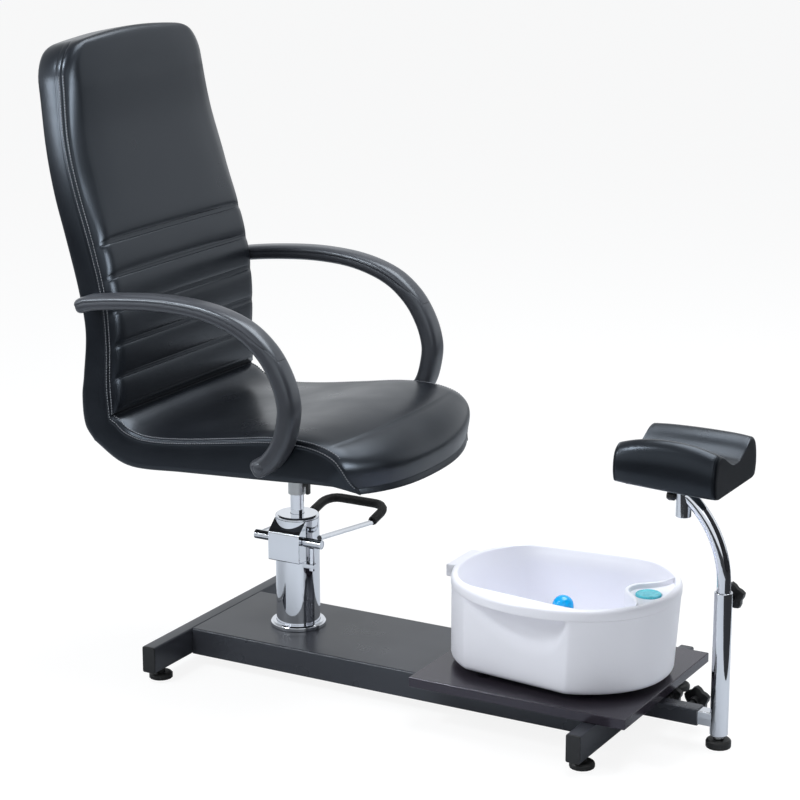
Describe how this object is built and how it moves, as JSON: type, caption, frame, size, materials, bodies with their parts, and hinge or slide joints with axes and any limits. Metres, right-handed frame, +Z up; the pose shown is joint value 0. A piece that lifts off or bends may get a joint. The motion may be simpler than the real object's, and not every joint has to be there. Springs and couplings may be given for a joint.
{
  "type": "pedicure chair",
  "caption": "Padded swivel chair on a foot-pumped column, with curved arms, a long steel base, a lift-off foot bath and a padded foot rest on a sliding post.",
  "frame": {"origin": "middle of the bounding box, on the floor", "axes": "+X from the chair towards the foot rest, +Y to the sitter's left, +Z up"},
  "size_m": [1.2856, 0.5656, 1.1658],
  "materials": {
    "black_steel": "satin powder coat",
    "laminate": "dark glossy laminate",
    "black_plastic": "moulded",
    "arm_plastic": "fine grain",
    "soft_pad": "soft self-skinned foam",
    "chrome": "polished",
    "rubber": "matt",
    "plywood": "raw",
    "leather": "smooth artificial leather",
    "white_plastic": "glossy",
    "teal_plastic": "translucent",
    "blue_plastic": "glossy"
  },
  "bodies": {
    "base": {"rear_crossbar": "black_steel", "front_crossbar": "black_steel", "base_plate": "black_steel", "bath_board": "laminate", "receiver_tube": "black_steel", "rear_right_plug": "black_plastic", "rear_left_plug": "black_plastic", "front_right_plug": "black_plastic", "front_left_plug": "black_plastic", "pump_flange": "chrome", "pump_cylinder": "chrome", "pump_gland": "chrome", "pump_head_cover": "chrome", "plunger_guide": "chrome"},
    "lift": {"piston_rod": "chrome"},
    "seat": {"swivel_socket": "chrome", "seat_plate": "black_steel", "seat_shell": "plywood", "seat_cushion": "leather", "back_cushion": "leather", "back_panel": "leather", "left_arm": "arm_plastic", "right_arm": "arm_plastic", "left_arm_pad": "soft_pad", "right_arm_pad": "soft_pad", "left_arm_bolt": "arm_plastic", "right_arm_bolt": "arm_plastic"},
    "lock": {"swivel_lock_lever": "black_plastic"},
    "lever": {"lever_shaft": "chrome", "pump_lever": "chrome", "lever_grip": "rubber"},
    "plunger": {"pump_plunger": "chrome"},
    "arm_slide": {"slide_bar": "chrome", "post_tube": "chrome", "post_bush": "chrome"},
    "post_foot_turn": {"post_foot": "rubber"},
    "post_knob_turn": {"post_knob": "black_plastic"},
    "mast": {"mast_tube": "chrome", "pad_sleeve": "chrome"},
    "sleeve_knob_turn": {"sleeve_knob": "black_plastic"},
    "pad": {"pad_spindle": "black_steel", "pad_board": "plywood", "foot_pad": "leather"},
    "front_knob": {"receiver_knob_front": "black_plastic"},
    "rear_knob": {"receiver_knob_rear": "black_plastic"},
    "bath": {"bath_housing": "white_plastic", "bath_basin": "white_plastic", "massage_node": "blue_plastic", "bath_front_left_foot": "rubber", "bath_front_right_foot": "rubber", "bath_rear_left_foot": "rubber", "bath_rear_right_foot": "rubber", "bath_motor": "black_plastic"},
    "dial": {"bath_dial": "teal_plastic"},
    "rear_right_foot_turn": {"rear_right_foot": "rubber"},
    "rear_left_foot_turn": {"rear_left_foot": "rubber"},
    "front_right_foot_turn": {"front_right_foot": "rubber"},
    "front_left_foot_turn": {"front_left_foot": "rubber"}
  },
  "joints": [
    {"name": "seat_lift", "type": "slide", "parent": "base", "child": "lift", "axis": [0, 0, 1], "range_m": [0, 0.1]},
    {"name": "seat_swivel", "type": "hinge", "parent": "lift", "child": "seat", "pos_m": [-0.23094, 0, 0.3251], "axis": [0, 0, 1], "continuous": true},
    {"name": "swivel_lock", "type": "hinge", "parent": "seat", "child": "lock", "pos_m": [-0.21414, 0, 0.3451], "axis": [1, 0, 0], "range_deg": [-35, 0]},
    {"name": "pump_stroke", "type": "hinge", "parent": "base", "child": "lever", "pos_m": [-0.23094, -0.031, 0.2441], "axis": [1, 0, 0], "range_deg": [-25, 0], "stiffness_Nm_per_rad": 5, "springref_deg": 28.65},
    {"name": "plunger_stroke", "type": "slide", "parent": "base", "child": "plunger", "axis": [0, 0, 1], "range_m": [-0.009, 0]},
    {"name": "foot_rest_slide", "type": "slide", "parent": "base", "child": "arm_slide", "axis": [1, 0, 0], "range_m": [0, 0.15]},
    {"name": "post_foot_thread", "type": "hinge", "parent": "arm_slide", "child": "post_foot_turn", "pos_m": [0.61906, -0.012, 0], "axis": [0, 0, 1], "continuous": true},
    {"name": "post_knob_thread", "type": "hinge", "parent": "arm_slide", "child": "post_knob_turn", "pos_m": [0.61906, 0.004, 0.261], "axis": [0, 1, 0], "continuous": true},
    {"name": "mast_height", "type": "slide", "parent": "arm_slide", "child": "mast", "axis": [0, 0, 1], "range_m": [0, 0.15]},
    {"name": "sleeve_knob_thread", "type": "hinge", "parent": "mast", "child": "sleeve_knob_turn", "pos_m": [0.52827, -0.012, 0.435], "axis": [1, 0, 0], "continuous": true},
    {"name": "pad_swivel", "type": "hinge", "parent": "mast", "child": "pad", "pos_m": [0.54207, -0.012, 0.4649], "axis": [0, 0, 1], "continuous": true},
    {"name": "front_knob_thread", "type": "hinge", "parent": "base", "child": "front_knob", "pos_m": [0.55046, 0.0033, 0.0501], "axis": [0, 1, 0], "continuous": true},
    {"name": "rear_knob_thread", "type": "hinge", "parent": "base", "child": "rear_knob", "pos_m": [0.50496, 0.0033, 0.0501], "axis": [0, 1, 0], "continuous": true},
    {"name": "bath_lift_off", "type": "slide", "parent": "base", "child": "bath", "axis": [0, 0, 1], "range_m": [0, 0.12]},
    {"name": "dial_turn", "type": "hinge", "parent": "bath", "child": "dial", "pos_m": [0.47706, 0, 0.2505], "axis": [0, 0, 1], "range_deg": [0, 270]},
    {"name": "rear_right_foot_thread", "type": "hinge", "parent": "base", "child": "rear_right_foot_turn", "pos_m": [-0.40329, -0.2055, 0], "axis": [0, 0, 1], "continuous": true},
    {"name": "rear_left_foot_thread", "type": "hinge", "parent": "base", "child": "rear_left_foot_turn", "pos_m": [-0.40329, 0.2055, 0], "axis": [0, 0, 1], "continuous": true},
    {"name": "front_right_foot_thread", "type": "hinge", "parent": "base", "child": "front_right_foot_turn", "pos_m": [0.45211, -0.2055, 0], "axis": [0, 0, 1], "continuous": true},
    {"name": "front_left_foot_thread", "type": "hinge", "parent": "base", "child": "front_left_foot_turn", "pos_m": [0.45211, 0.2055, 0], "axis": [0, 0, 1], "continuous": true}
  ],
  "couplings": [
    {"joint": "plunger_stroke", "follows": "pump_stroke", "m_per_rad": 0.018}
  ]
}
